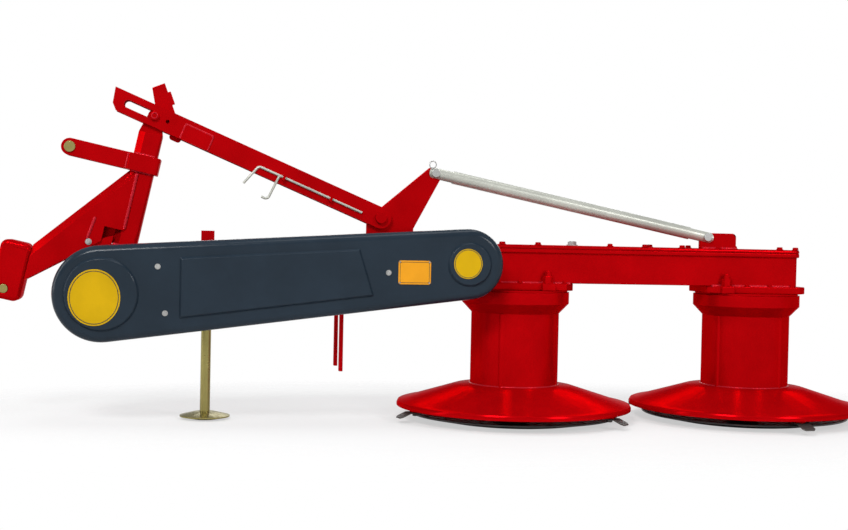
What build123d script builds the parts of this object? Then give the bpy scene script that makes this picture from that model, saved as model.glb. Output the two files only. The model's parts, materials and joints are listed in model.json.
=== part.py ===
"""Rear-mounted two-drum hay mower, parked on its stand and skids.

Millimetres. X runs from the hitch to the outer drum, Y from the belt guard to the far side, Z up.
The origin is on the floor, on the inner drum's axis.
"""

import os
from math import atan2, cos, degrees, hypot, radians, sin

from build123d import *

# Drums: the working width is the drum spacing plus the knife circle
RIM_RADIUS = 390
RIM_GAP = 30
RIM_HEIGHT = 50
RIM_ROLL = 8
LIP_WIDTH = 26
LIP_RISE = 12
SHOULDER_WIDTH = 54
SHOULDER_DROP = 5
SKIRT_TOP = 118
COLUMN_RADIUS = 146
NECK_HEIGHT = 356
NECK_EASE = 9
COLLAR_RADIUS = 178
COLLAR_HEIGHT = 38
DRUM_WALL = 6
RIB_COUNT = 4
RIB_RADIUS = 9
RIB_HEIGHT = 4
KNIFE_REACH = 30
KNIFE_LENGTH = 84
KNIFE_WIDTH = 46
KNIFE_THICKNESS = 4
KNIFE_FLOOR = 31
KNIFE_BEND_INSET = 6
KNIFE_DROP = 15
KNIFE_SEAT_RADIUS = 17
KNIFE_BOLT_INSET = 30
KNIFE_COUNT = 3
SKID_INSET = 45
SKID_SLOPE = 95
SKID_HEIGHT = 24
SKID_WALL = 6
SPINDLE_RADIUS = 35
SPINDLE_FLOOR = 12
HUB_WALL = 18
HUB_WEB = 14

# Gear beam over the drums
BEAM_INNER_END = -300
BEAM_OVERHANG = 143
BEAM_WIDTH = 190
BEAM_BOTTOM = 457
BEAM_TOP = 570
BEAM_WALL = 10
BEAM_CORNER = 14
BEAM_RIM = 14
COVER_THICKNESS = 12
COVER_LIP = 8
FLANGE_LENGTH = 350
FLANGE_WIDTH = 224
FLANGE_CUT = 30
FLANGE_THICKNESS = 24
EAR_WIDTH = 44
EAR_REACH = 132

# Belt drive: the drive pulley turns on the hitch pivot
PIVOT_X = -1330
PIVOT_Z = 408
DRIVEN_X = -205
DRIVEN_Z = 517
DRIVE_PULLEY_RADIUS = 116
DRIVEN_PULLEY_RADIUS = 80
PULLEY_FRONT = 226
PULLEY_WIDTH = 96
BELT_COUNT = 4
BELT_PITCH = 22
BELT_TOP_WIDTH = 13
BELT_BOTTOM_WIDTH = 8
BELT_DEPTH = 10
GROOVE_SLACK = 0.6
DRIVE_SHAFT_RADIUS = 25
DRIVEN_SHAFT_RADIUS = 20
SPLINE_RADIUS = 17.4
SPLINE_LENGTH = 80
SPLINE_TEETH = 6
HOUSING_RADIUS = 50
HOUSING_FRONT = 112
HOUSING_BACK = 95
INPUT_BOSS_RADIUS = 58

# Belt guard
GUARD_BIG_RADIUS = 147
GUARD_SMALL_RADIUS = 111
GUARD_FRONT = 250
GUARD_BACK = 118
GUARD_WALL = 4
GUARD_ROUNDING = 24
GUARD_RING_BIG = 112
GUARD_RING_SMALL = 70
GUARD_RELIEF = 9
RELIEF_TAPER = 35
RELIEF_ROUNDING = 4
PANEL_LEFT = -1098
PANEL_RIGHT = -505
PANEL_MARGIN = 46
STUD_RADIUS = 12
STUD_PLATE = 8
STUD_MARGIN = 26

# Carrier arm from the hitch pivot to the beam
ARM_WIDTH = 64
ARM_HEIGHT = 100
ARM_WALL = 8
ARM_START = 20
END_PLATE = 12

# Headstock, in its own leaning frame: x across, z up along the mast, from the pivot
LEAN = 12.1
MAST_OFFSET = 20
MAST_WIDTH = 76
MAST_CORNER = 12
MAST_BEVEL = 22
MAST_FOOT = 95
MAST_SHOULDER = 518
TONGUE_THICKNESS = 30
TONGUE_RADIUS = 22
LIFT_PIN_CLIMB = 57
LIFT_PIN_RADIUS = 10
LUG_THICKNESS = 18
LUG_RING_RADIUS = 74
LUG_TOP = 150
BLOCK_X = -300
BLOCK_WIDTH = 95
BLOCK_BOTTOM = -95
BLOCK_TOP = 92
BLOCK_DEPTH = 84
BLOCK_CORNER = 24
BLOCK_BEVEL = 18
LOWER_PIN_X = -308
LOWER_PIN_Z = -62
LOWER_PIN_RADIUS = 14
LINK_SEAT = 60
LOWER_SPREAD = 683
CROSS_TUBE_X = -302
CROSS_TUBE_Z = 36
CROSS_TUBE_RADIUS = 28
FAR_PIN_GRIP = 70
FAR_GRIP_RADIUS = 19
HITCH_ARM_WALL = 7
HITCH_ARM_CHAMFER = 24
HITCH_ARM_TOP = 388
HITCH_ARM_TIP = -22
HITCH_ARM_SEAM = 27
NOTCH_X = -51
NOTCH_TOP = 198
STRAP_RISE = 418
STRAP_HEIGHT = 54
STRAP_WALL = 12
STRAP_PIN_X = -212
STRAP_GAP = 44
TOP_PIN_RADIUS = 12.5

# Lift bar, bracket and tie rod. Pin heads are so many times as wide as their pins
PIN_HEAD = 1.4
BAR_PIN_X = -461
BAR_PIN_Z = 659
BAR_PIN_RADIUS = 13
BAR_LENGTH = 932
BAR_DEPTH = 68
BAR_WIDTH = 60
BAR_WALL = 6
BAR_TOP_END = 52
BAR_TIP_RAKE = 12
BAR_TIP_CUT = 18
SLOT_TRAVEL = 90
SLOT_SLACK = 2.5
PATCH_FROM_PIN = 147
PATCH_LENGTH = 92
PATCH_TOP = 16
PATCH_THICKNESS = 5
PATCH_CORNER = 8
SPARE_HOLE_FROM_PIN = 44
SPARE_HOLE_RADIUS = 6
LEVER_FROM_PIN = 55
LEVER_WIDTH = 70
LEVER_LEAN = 30
LEVER_RISE = 76
LEVER_THICKNESS = 16
LEVER_TAB_LENGTH = 42
LEVER_TAB_RISE = 9
HOOK_FROM_PIN = 85
HOOK_WIDTH = 38
HOOK_DROP = 13
HOOK_CORNER = 10
ROD_RADIUS = 4
ROD_DROP = -10
ROD_BEND = 12
ROD_START = 64
ROD_HANDLE = 428
ROD_HANDLE_DROP = 70
ROD_TRIP = 356
ROD_TRIP_DROP = 86
ROD_HOOK = 26
GUIDE_NEAR = 174
GUIDE_FAR = 340
GUIDE_THICKNESS = 8
ROD_GAP = 0.3
BRACKET_THICKNESS = 24
BRACKET_FOOT_LEFT = 44
BRACKET_FOOT_RIGHT = 110
BRACKET_EDGE = 32
BRACKET_TIP = 18
TIE_INNER_X = -281
TIE_INNER_Z = 811
TIE_OUTER_X = 660
TIE_OUTER_Z = 620
TIE_RADIUS = 21
TIE_PIN_RADIUS = 10
FORK_DEPTH = 62
CLEVIS_RISE = 14
CLEVIS_LENGTH = 126

# Parking stand and hanging bars
STAND_X = -1017
STAND_RADIUS = 16
STAND_TOP = 560
STAND_HOLE_RADIUS = 5
STAND_HOLE_PITCH = 60
STAND_HOLE_COUNT = 4
STAND_HOLE_FLOOR = 130
SLEEVE_WIDTH = 42
SLEEVE_BOTTOM = 360
SLEEVE_TOP = 606
FOOT_RADIUS = 80
FOOT_HEIGHT = 24
HANGER_X = -590
HANGER_REACH = 92
HANGER_WIDTH = 26
HANGER_THICKNESS = 12
HANGER_FLOOR = 165

# Clearances
RUNNING_FIT = 0.05
SOFT_GAP = 6

os.makedirs("parts", exist_ok=True)

lean_rad = radians(LEAN)
head_plane = Plane(
    origin=(PIVOT_X, 0, PIVOT_Z),
    x_dir=(cos(lean_rad), 0, -sin(lean_rad)),
    z_dir=(0, -1, 0),
)
rim_bottom = BEAM_TOP - BEAM_RIM
cover_top = BEAM_TOP + COVER_THICKNESS
drum_spacing = 2 * RIM_RADIUS + RIM_GAP
beam_outer_end = drum_spacing + BEAM_OVERHANG
flange_bottom = BEAM_BOTTOM - FLANGE_THICKNESS
drum_top = flange_bottom - SOFT_GAP
lift_pin_rise = MAST_SHOULDER + LIFT_PIN_CLIMB
belt_slope = (DRIVEN_Z - PIVOT_Z) / (DRIVEN_X - PIVOT_X)


def finish(piece, name):
    """Names a finished piece and writes it."""
    piece.part.label = name
    export_step(piece.part, f"parts/{name}.step")


def arm_mid(x):
    """Height of the carrier arm's centre line, which follows the belts."""
    return PIVOT_Z + belt_slope * (x - PIVOT_X)


def arm_corners(inset):
    """Side outline of the carrier arm, drawn in by an inset."""
    half = ARM_HEIGHT / 2 - inset
    ends = (PIVOT_X + ARM_START, BEAM_INNER_END - END_PLATE)
    low = [(x, arm_mid(x) - half) for x in ends]
    high = [(x, arm_mid(x) + half) for x in reversed(ends)]
    return low + high


# Drums, their knives and skids. Columns: name, axis X, angle of the first knife, angle of the first rib,
# place of the flange's ears from the axis
DRUMS = (
    ("inner", 0, 76, 60, 82),
    ("outer", drum_spacing, 37, 30, -115),
)
collar_floor = drum_top - COLLAR_HEIGHT
shoulder_radius = COLUMN_RADIUS + SHOULDER_WIDTH
lip_radius = RIM_RADIUS - LIP_WIDTH
roll_radius = RIM_RADIUS - RIM_ROLL / 2
knife_tip = RIM_RADIUS + KNIFE_REACH
knife_bend = RIM_RADIUS - KNIFE_BEND_INSET
knife_root = knife_tip - KNIFE_LENGTH
skid_radius = RIM_RADIUS - SKID_INSET
skid_flat = skid_radius - SKID_SLOPE


def drum_points(inset):
    """Half outline of a drum from the collar's top to the rim's foot, drawn in by the wall."""
    return (
        (COLLAR_RADIUS - inset, drum_top),
        (COLLAR_RADIUS - inset, collar_floor),
        (COLLAR_RADIUS - NECK_EASE - inset, collar_floor - NECK_EASE),
        (COLUMN_RADIUS + NECK_EASE - inset, NECK_HEIGHT + NECK_EASE),
        (COLUMN_RADIUS - inset, NECK_HEIGHT),
        (COLUMN_RADIUS - inset, SKIRT_TOP - inset),
        (shoulder_radius - inset, SKIRT_TOP - SHOULDER_DROP - inset),
        (lip_radius - inset, RIM_HEIGHT + LIP_RISE - inset),
        (roll_radius - inset, RIM_HEIGHT + RIM_ROLL - inset),
        (RIM_RADIUS - inset, RIM_HEIGHT),
        (RIM_RADIUS - inset, RIM_HEIGHT - RIM_ROLL),
    )


for side, axis_x, knife_angle, rib_angle, ear_place in DRUMS:
    axis_plane = Plane(origin=(axis_x, 0, 0), x_dir=(1, 0, 0), z_dir=(0, -1, 0))
    axis = Axis((axis_x, 0, 0), (0, 0, 1))

    with BuildPart() as spindle:
        with BuildSketch(Plane.XY.offset(SPINDLE_FLOOR)):
            with Locations((axis_x, 0)):
                Circle(SPINDLE_RADIUS)
        extrude(amount=flange_bottom - SPINDLE_FLOOR)
        with BuildSketch(Plane.XY.offset(flange_bottom)) as plate:
            with Locations((axis_x, 0)):
                Rectangle(FLANGE_LENGTH, FLANGE_WIDTH)
            chamfer(plate.vertices(), length=FLANGE_CUT)
            with Locations((axis_x + ear_place, 0)):
                Rectangle(EAR_WIDTH, 2 * EAR_REACH)
        extrude(amount=FLANGE_THICKNESS)
        chamfer(spindle.faces().sort_by(Axis.Z)[0].edges(), length=HUB_WALL / 4)
    finish(spindle, f"spindle_{side}")

    with BuildPart() as drum:
        with BuildSketch(axis_plane):
            with BuildLine():
                Polyline(*drum_points(0), *reversed(drum_points(DRUM_WALL)), close=True)
            make_face()
        revolve(axis=axis)
        for web_floor in (SKIRT_TOP - DRUM_WALL - HUB_WEB, NECK_HEIGHT - HUB_WEB):
            with BuildSketch(Plane.XY.offset(web_floor)):
                with Locations((axis_x, 0)):
                    Circle(COLUMN_RADIUS - DRUM_WALL / 2)
                    Circle(SPINDLE_RADIUS + RUNNING_FIT, mode=Mode.SUBTRACT)
            extrude(amount=HUB_WEB)
        with BuildSketch(Plane.XY.offset(SKIRT_TOP)):
            with Locations((axis_x, 0)):
                with PolarLocations(COLUMN_RADIUS + RIB_HEIGHT - RIB_RADIUS, RIB_COUNT, rib_angle):
                    Circle(RIB_RADIUS)
        extrude(amount=NECK_HEIGHT - SKIRT_TOP)
        with BuildSketch(Plane.XY.offset(KNIFE_FLOOR + KNIFE_THICKNESS)):
            with Locations((axis_x, 0)):
                with PolarLocations(RIM_RADIUS - KNIFE_BOLT_INSET, KNIFE_COUNT, knife_angle):
                    Circle(KNIFE_SEAT_RADIUS)
        extrude(amount=RIM_HEIGHT + RIM_ROLL - KNIFE_FLOOR - KNIFE_THICKNESS)
    finish(drum, f"drum_{side}")

    # Each knife is flat under its bolt and bent down past the rim
    with BuildPart() as knives:
        for turn in range(KNIFE_COUNT):
            way = radians(knife_angle + turn * 360 / KNIFE_COUNT)
            outward = (cos(way), sin(way), 0)
            radial = Plane(origin=(axis_x, 0, 0), x_dir=outward, z_dir=(sin(way), -cos(way), 0))
            with BuildSketch(radial):
                with BuildLine():
                    Polyline(
                        (knife_root, KNIFE_FLOOR),
                        (knife_bend, KNIFE_FLOOR),
                        (knife_tip, KNIFE_FLOOR - KNIFE_DROP),
                        (knife_tip, KNIFE_FLOOR - KNIFE_DROP + KNIFE_THICKNESS),
                        (knife_bend, KNIFE_FLOOR + KNIFE_THICKNESS),
                        (knife_root, KNIFE_FLOOR + KNIFE_THICKNESS),
                        close=True,
                    )
                make_face()
            extrude(amount=KNIFE_WIDTH / 2, both=True)
        chamfer(knives.edges().filter_by(Axis.Z), length=KNIFE_WIDTH / 6)
    finish(knives, f"knives_{side}")

    with BuildPart() as skid:
        with BuildSketch(axis_plane):
            with BuildLine():
                Polyline(
                    (0, 0),
                    (skid_flat, 0),
                    (skid_radius, SKID_HEIGHT - SKID_WALL),
                    (skid_radius, SKID_HEIGHT),
                    (skid_radius - SKID_WALL, SKID_HEIGHT),
                    (skid_flat, SKID_WALL),
                    (SPINDLE_RADIUS + HUB_WALL, SKID_WALL),
                    (SPINDLE_RADIUS + HUB_WALL, KNIFE_FLOOR + SPINDLE_RADIUS),
                    (SPINDLE_RADIUS + RUNNING_FIT, KNIFE_FLOOR + SPINDLE_RADIUS),
                    (SPINDLE_RADIUS + RUNNING_FIT, SKID_WALL),
                    (0, SKID_WALL),
                    close=True,
                )
            make_face()
        revolve(axis=axis)
    finish(skid, f"skid_{side}")

# Gear beam: a shelled trough with a bolting rim, and its cover
beam_length = beam_outer_end - BEAM_INNER_END
beam_x = (BEAM_INNER_END + beam_outer_end) / 2
rim_size = (beam_length + 2 * COVER_LIP, BEAM_WIDTH + 2 * COVER_LIP, BEAM_CORNER + COVER_LIP)
with BuildPart() as beam:
    with BuildSketch(Plane.XY.offset(BEAM_BOTTOM)):
        with Locations((beam_x, 0)):
            RectangleRounded(beam_length, BEAM_WIDTH, BEAM_CORNER)
    extrude(amount=BEAM_TOP - BEAM_BOTTOM)
    offset(amount=-BEAM_WALL, openings=beam.faces().sort_by(Axis.Z)[-1])
    with BuildSketch(Plane.XY.offset(rim_bottom)):
        with Locations((beam_x, 0)):
            RectangleRounded(*rim_size)
            RectangleRounded(beam_length - BEAM_WALL, BEAM_WIDTH - BEAM_WALL, BEAM_CORNER, mode=Mode.SUBTRACT)
    extrude(amount=BEAM_RIM)
finish(beam, "gear_beam")

with BuildPart() as cover:
    with BuildSketch(Plane.XY.offset(BEAM_TOP)):
        with Locations((beam_x, 0)):
            RectangleRounded(*rim_size)
    extrude(amount=COVER_THICKNESS)
    chamfer(cover.faces().sort_by(Axis.Z)[-1].edges(), length=COVER_THICKNESS / 3)
finish(cover, "beam_cover")

# Carrier arm, its end plate and the drive shaft's bearing housing
with BuildPart() as carrier:
    with BuildSketch(Plane.XZ):
        with BuildLine():
            Polyline(*arm_corners(0), close=True)
        make_face()
    extrude(amount=ARM_WIDTH / 2, both=True)
    with BuildSketch(Plane.XZ):
        with BuildLine():
            Polyline(*arm_corners(ARM_WALL), close=True)
        make_face()
    extrude(amount=ARM_WIDTH / 2 - ARM_WALL, both=True, mode=Mode.SUBTRACT)
    with BuildSketch(Plane.XZ):
        with Locations((PIVOT_X, PIVOT_Z)):
            Circle(HOUSING_RADIUS)
    extrude(amount=ARM_WIDTH, both=True, mode=Mode.SUBTRACT)
    with BuildSketch(Plane.XY.offset(SLEEVE_BOTTOM)):
        with Locations((STAND_X, 0)):
            Rectangle(SLEEVE_WIDTH, SLEEVE_WIDTH)
    extrude(amount=SLEEVE_TOP - SLEEVE_BOTTOM, mode=Mode.SUBTRACT)
    with BuildSketch(Plane.YZ.offset(BEAM_INNER_END - END_PLATE)):
        with Locations((0, (BEAM_BOTTOM + rim_bottom) / 2)):
            RectangleRounded(BEAM_WIDTH - BEAM_CORNER, rim_bottom - BEAM_BOTTOM, BEAM_WALL)
    extrude(amount=END_PLATE)
finish(carrier, "carrier_arm")

with BuildPart() as housing:
    with BuildSketch(Plane.XZ.offset(-HOUSING_BACK)):
        with Locations((PIVOT_X, PIVOT_Z)):
            Circle(HOUSING_RADIUS)
            Circle(DRIVE_SHAFT_RADIUS + RUNNING_FIT, mode=Mode.SUBTRACT)
    extrude(amount=HOUSING_FRONT + HOUSING_BACK)
finish(housing, "bearing_housing")

with BuildPart() as boss:
    with BuildSketch(Plane.XZ.offset(BEAM_WIDTH / 2)):
        with Locations((DRIVEN_X, DRIVEN_Z)):
            Circle(INPUT_BOSS_RADIUS)
            Circle(DRIVEN_SHAFT_RADIUS + RUNNING_FIT, mode=Mode.SUBTRACT)
        with Locations((DRIVEN_X, rim_bottom + INPUT_BOSS_RADIUS)):
            Rectangle(2 * INPUT_BOSS_RADIUS, 2 * INPUT_BOSS_RADIUS, mode=Mode.SUBTRACT)
    extrude(amount=PULLEY_FRONT - PULLEY_WIDTH - SOFT_GAP - BEAM_WIDTH / 2)
finish(boss, "input_boss")

# Grooved pulleys with their shafts, and the belts between them
belt_mid = PULLEY_FRONT - PULLEY_WIDTH / 2
belt_places = [belt_mid + (i - (BELT_COUNT - 1) / 2) * BELT_PITCH for i in range(BELT_COUNT)]
groove_top = BELT_TOP_WIDTH / 2 + GROOVE_SLACK
groove_bottom = BELT_BOTTOM_WIDTH / 2 + GROOVE_SLACK
groove_depth = BELT_DEPTH + 2 * GROOVE_SLACK

# Columns: name, axis X, axis Z, rim radius, shaft radius, shaft's end behind the pulley
PULLEYS = (
    ("drive_pulley", PIVOT_X, PIVOT_Z, DRIVE_PULLEY_RADIUS, DRIVE_SHAFT_RADIUS, -HOUSING_BACK),
    ("driven_pulley", DRIVEN_X, DRIVEN_Z, DRIVEN_PULLEY_RADIUS, DRIVEN_SHAFT_RADIUS, BEAM_WIDTH / 2),
)
for name, axis_x, axis_z, rim, shaft, shaft_end in PULLEYS:
    spin = Axis((axis_x, 0, axis_z), (0, 1, 0))
    with BuildPart() as pulley:
        with BuildSketch(Plane.XZ.offset(shaft_end)):
            with Locations((axis_x, axis_z)):
                Circle(shaft)
        extrude(amount=PULLEY_FRONT - shaft_end)
        with BuildSketch(Plane.XZ.offset(PULLEY_FRONT - PULLEY_WIDTH)):
            with Locations((axis_x, axis_z)):
                Circle(rim)
        extrude(amount=PULLEY_WIDTH)
        with BuildSketch(Plane(origin=(axis_x, 0, axis_z), x_dir=(1, 0, 0), z_dir=(0, 0, 1))):
            for place in belt_places:
                with BuildLine():
                    Polyline(
                        (rim - groove_depth, -place - groove_bottom),
                        (rim, -place - groove_top),
                        (rim, -place + groove_top),
                        (rim - groove_depth, -place + groove_bottom),
                        close=True,
                    )
                make_face()
        revolve(axis=spin, mode=Mode.SUBTRACT)
        if name == "drive_pulley":
            with BuildSketch(Plane.XZ.offset(-HOUSING_BACK - SPLINE_LENGTH)):
                with Locations((axis_x, axis_z)):
                    Circle(SPLINE_RADIUS)
                    with PolarLocations(SPLINE_RADIUS, SPLINE_TEETH):
                        Rectangle(SPLINE_RADIUS / 3, SPLINE_RADIUS / 2, mode=Mode.SUBTRACT)
            extrude(amount=SPLINE_LENGTH)
    finish(pulley, name)


def pulley_hull(place, inset):
    """Outline round both pulleys at their rims less an inset, on the plane at one place across the belts."""
    with BuildSketch(Plane.XZ.offset(place)) as hull:
        with Locations((PIVOT_X, PIVOT_Z)):
            Circle(DRIVE_PULLEY_RADIUS - inset)
        with Locations((DRIVEN_X, DRIVEN_Z)):
            Circle(DRIVEN_PULLEY_RADIUS - inset)
        make_hull()
    return hull.sketch


# Each belt is a wedge in section: wide at the rim, narrow at the foot
with BuildPart() as belts:
    for place in belt_places:
        extrude(pulley_hull(place, 0), amount=BELT_TOP_WIDTH / 2, both=True)
        extrude(pulley_hull(place, BELT_DEPTH), amount=BELT_TOP_WIDTH, both=True, mode=Mode.SUBTRACT)
        for way in (-1, 1):
            foot = pulley_hull(place + way * BELT_BOTTOM_WIDTH / 2, BELT_DEPTH)
            crown = pulley_hull(place + way * BELT_TOP_WIDTH / 2, 0)
            loft(sections=(foot.face(), crown.face()), ruled=True, mode=Mode.SUBTRACT)
finish(belts, "v_belts")

# Belt guard: a pressed shell, open at the back, on three studs
guard_slope = (GUARD_SMALL_RADIUS - GUARD_BIG_RADIUS) / (DRIVEN_X - PIVOT_X)


def guard_edge(x, way, margin):
    """Height of the guard's upper or lower edge at a place along it, drawn in by a margin."""
    half = GUARD_BIG_RADIUS + guard_slope * (x - PIVOT_X) - margin
    return arm_mid(x) + way * half


with BuildPart() as guard:
    with BuildSketch(Plane.XZ.offset(GUARD_BACK)):
        with Locations((PIVOT_X, PIVOT_Z)):
            Circle(GUARD_BIG_RADIUS)
        with Locations((DRIVEN_X, DRIVEN_Z)):
            Circle(GUARD_SMALL_RADIUS)
        make_hull()
    extrude(amount=GUARD_FRONT - GUARD_BACK)
    fillet(guard.faces().sort_by(Axis.Y)[0].edges(), radius=GUARD_ROUNDING)
    offset(amount=-GUARD_WALL, openings=guard.faces().sort_by(Axis.Y)[-1])
    with BuildSketch(Plane.XZ.offset(GUARD_FRONT)) as relief:
        with Locations((PIVOT_X, PIVOT_Z)):
            Circle(GUARD_RING_BIG)
        with Locations((DRIVEN_X, DRIVEN_Z)):
            Circle(GUARD_RING_SMALL)
        with BuildLine():
            Polyline(
                (PANEL_LEFT, guard_edge(PANEL_LEFT, -1, PANEL_MARGIN)),
                (PANEL_RIGHT, guard_edge(PANEL_RIGHT, -1, PANEL_MARGIN)),
                (PANEL_RIGHT - PANEL_MARGIN, guard_edge(PANEL_RIGHT - PANEL_MARGIN, 1, PANEL_MARGIN)),
                (PANEL_LEFT, guard_edge(PANEL_LEFT, 1, PANEL_MARGIN)),
                close=True,
            )
        make_face()
    extrude(amount=GUARD_RELIEF, taper=RELIEF_TAPER)
    outer_edges = guard.edges().filter_by(lambda e: e.center().Y < -GUARD_FRONT - GUARD_WALL / 2)
    fillet(outer_edges, radius=RELIEF_ROUNDING)
finish(guard, "belt_guard")

# Columns: X, Z of each stud. The first two share a plate
STUDS = (
    (-1164, 494),
    (-1140, 353),
    (-461, 487),
)
arm_face = ARM_WIDTH / 2
with BuildPart() as studs:
    with BuildSketch(Plane.XZ.offset(arm_face)):
        for row in (STUDS[:2], STUDS[2:]):
            across = [x for x, z in row]
            rise = [z for x, z in row]
            with Locations(((min(across) + max(across)) / 2, (min(rise) + max(rise)) / 2)):
                RectangleRounded(
                    max(across) - min(across) + 2 * STUD_MARGIN,
                    max(rise) - min(rise) + 2 * STUD_MARGIN,
                    STUD_RADIUS,
                )
    extrude(amount=STUD_PLATE)
    with BuildSketch(Plane.XZ.offset(arm_face + STUD_PLATE)):
        with Locations(*STUDS):
            Circle(STUD_RADIUS)
    extrude(amount=GUARD_FRONT - GUARD_WALL - arm_face - STUD_PLATE)
finish(studs, "guard_studs")

# Headstock: two lugs turn on the bearing housing and carry the mast
lug_inner = MAST_WIDTH / 2
mast_right = MAST_OFFSET + MAST_WIDTH / 2
mast_left = MAST_OFFSET - MAST_WIDTH / 2
with BuildPart() as lugs:
    for way in (-1, 1):
        with BuildSketch(head_plane.offset(way * (lug_inner + LUG_THICKNESS / 2))):
            Circle(LUG_RING_RADIUS)
            with BuildLine():
                Polyline(
                    (-LUG_RING_RADIUS, 0),
                    (LUG_RING_RADIUS, 0),
                    (mast_right, LUG_TOP),
                    (mast_left, LUG_TOP),
                    close=True,
                )
            make_face()
            Circle(HOUSING_RADIUS + RUNNING_FIT, mode=Mode.SUBTRACT)
        extrude(amount=LUG_THICKNESS / 2, both=True)
finish(lugs, "pivot_lugs")

with BuildPart() as mast:
    with BuildSketch(head_plane):
        with Locations((MAST_OFFSET, (MAST_FOOT + MAST_SHOULDER) / 2)):
            Rectangle(MAST_WIDTH, MAST_SHOULDER - MAST_FOOT)
    extrude(amount=MAST_WIDTH / 2, both=True)
    along = Axis(head_plane.origin, head_plane.y_dir)
    across_head = Axis(head_plane.origin, head_plane.x_dir)
    long_edges = mast.edges().filter_by(along)
    front_left = long_edges.sort_by(across_head)[:2].sort_by(Axis.Y)[0]
    fillet(long_edges - [front_left], radius=MAST_CORNER)
    chamfer(mast.edges().filter_by(along).sort_by(across_head)[:2].sort_by(Axis.Y)[0], length=MAST_BEVEL)
    with BuildSketch(head_plane):
        with BuildLine():
            Polyline(
                (mast_left, MAST_SHOULDER),
                (mast_right, MAST_SHOULDER),
                (MAST_OFFSET + TONGUE_RADIUS, lift_pin_rise),
                (MAST_OFFSET - TONGUE_RADIUS, lift_pin_rise),
                close=True,
            )
        make_face()
        with Locations((MAST_OFFSET, lift_pin_rise)):
            Circle(TONGUE_RADIUS)
    extrude(amount=TONGUE_THICKNESS / 2, both=True)
    with BuildSketch(head_plane):
        with Locations((MAST_OFFSET, lift_pin_rise)):
            Circle(LIFT_PIN_RADIUS + RUNNING_FIT)
    extrude(amount=MAST_WIDTH, both=True, mode=Mode.SUBTRACT)
finish(mast, "mast")

# Tapered hitch arm: a folded trough, open below, whose sides clasp the mast. Its near side has a notch
block_right = BLOCK_X + BLOCK_WIDTH / 2
arm_inner = MAST_WIDTH / 2
arm_outer = arm_inner + HITCH_ARM_WALL
arm_seam = mast_left + HITCH_ARM_SEAM
roof = HITCH_ARM_CHAMFER + HITCH_ARM_WALL
arm_slant = hypot(mast_left - block_right, HITCH_ARM_TOP - BLOCK_TOP)
with BuildPart() as hitch_arm:
    with BuildSketch(head_plane):
        with BuildLine():
            Polyline(
                (mast_left, HITCH_ARM_TOP),
                (block_right, BLOCK_TOP),
                (block_right, HITCH_ARM_TIP),
                (NOTCH_X, LUG_TOP),
                (arm_seam, LUG_TOP),
                (arm_seam, HITCH_ARM_TOP),
                close=True,
            )
        make_face()
    extrude(amount=arm_outer, both=True)
    top_edges = hitch_arm.edges().filter_by(GeomType.LINE).sort_by(along)
    slanting = top_edges.filter_by(lambda e: abs(e.length - arm_slant) < 1).sort_by(Axis.Y)
    chamfer((slanting[0], slanting[-1]), length=HITCH_ARM_CHAMFER)
    with BuildSketch(head_plane):
        with BuildLine():
            Polyline(
                (mast_left, HITCH_ARM_TOP - roof),
                (block_right + HITCH_ARM_WALL, BLOCK_TOP - roof),
                (block_right + HITCH_ARM_WALL, HITCH_ARM_TIP - BLOCK_WIDTH),
                (mast_left, HITCH_ARM_TIP - BLOCK_WIDTH),
                close=True,
            )
        make_face()
        with Locations((MAST_OFFSET, (MAST_FOOT + MAST_SHOULDER) / 2)):
            Rectangle(MAST_WIDTH, MAST_SHOULDER - MAST_FOOT)
    extrude(amount=arm_inner, both=True, mode=Mode.SUBTRACT)
    with BuildSketch(head_plane.offset(arm_outer)):
        with Locations(((NOTCH_X + arm_seam) / 2, NOTCH_TOP / 2)):
            Rectangle(arm_seam - NOTCH_X, NOTCH_TOP)
    extrude(amount=-HITCH_ARM_WALL, mode=Mode.SUBTRACT)
finish(hitch_arm, "hitch_arm")

lower_pin = (LOWER_PIN_X, LOWER_PIN_Z)
with BuildPart() as block:
    with BuildSketch(head_plane):
        with Locations((BLOCK_X, (BLOCK_TOP + BLOCK_BOTTOM) / 2)):
            RectangleRounded(BLOCK_WIDTH, BLOCK_TOP - BLOCK_BOTTOM, BLOCK_CORNER)
    extrude(amount=BLOCK_DEPTH / 2, both=True)
    rim_edges = block.faces().sort_by(Axis.Y)[0].edges()
    chamfer(rim_edges, length=BLOCK_BEVEL / 2)
    with BuildSketch(head_plane):
        with Locations(lower_pin):
            Circle(LOWER_PIN_RADIUS + RUNNING_FIT)
    extrude(amount=BLOCK_DEPTH, both=True, mode=Mode.SUBTRACT)
finish(block, "hitch_block")

# Lower links: a pin through the block, and a cross tube behind it that holds the far pin by its thicker grip
near_seat = BLOCK_DEPTH / 2
far_seat = near_seat + LOWER_SPREAD
cross_tube_at = (CROSS_TUBE_X, CROSS_TUBE_Z)
# Columns: name, place, radius of the grip, nearest end, shoulder of the seat
LINK_PINS = (
    ("lower_link_pin", lower_pin, LOWER_PIN_RADIUS, -near_seat, near_seat),
    ("far_link_pin", cross_tube_at, FAR_GRIP_RADIUS, far_seat - FAR_PIN_GRIP, far_seat),
)
for name, place, grip_radius, near_end, shoulder in LINK_PINS:
    with BuildPart() as link_pin:
        with BuildSketch(head_plane.offset(-shoulder - LINK_SEAT)):
            with Locations(place):
                Circle(LOWER_PIN_RADIUS)
        extrude(amount=LINK_SEAT)
        chamfer(link_pin.faces().sort_by(Axis.Y)[-1].edges(), length=LOWER_PIN_RADIUS / 4)
        with BuildSketch(head_plane.offset(-shoulder)):
            with Locations(place):
                Circle(grip_radius)
        extrude(amount=shoulder - near_end)
    finish(link_pin, name)

with BuildPart() as cross_tube:
    with BuildSketch(head_plane.offset(-far_seat)):
        with Locations(cross_tube_at):
            Circle(CROSS_TUBE_RADIUS)
            Circle(FAR_GRIP_RADIUS + RUNNING_FIT, mode=Mode.SUBTRACT)
    extrude(amount=LOWER_SPREAD)
finish(cross_tube, "cross_tube")

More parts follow.
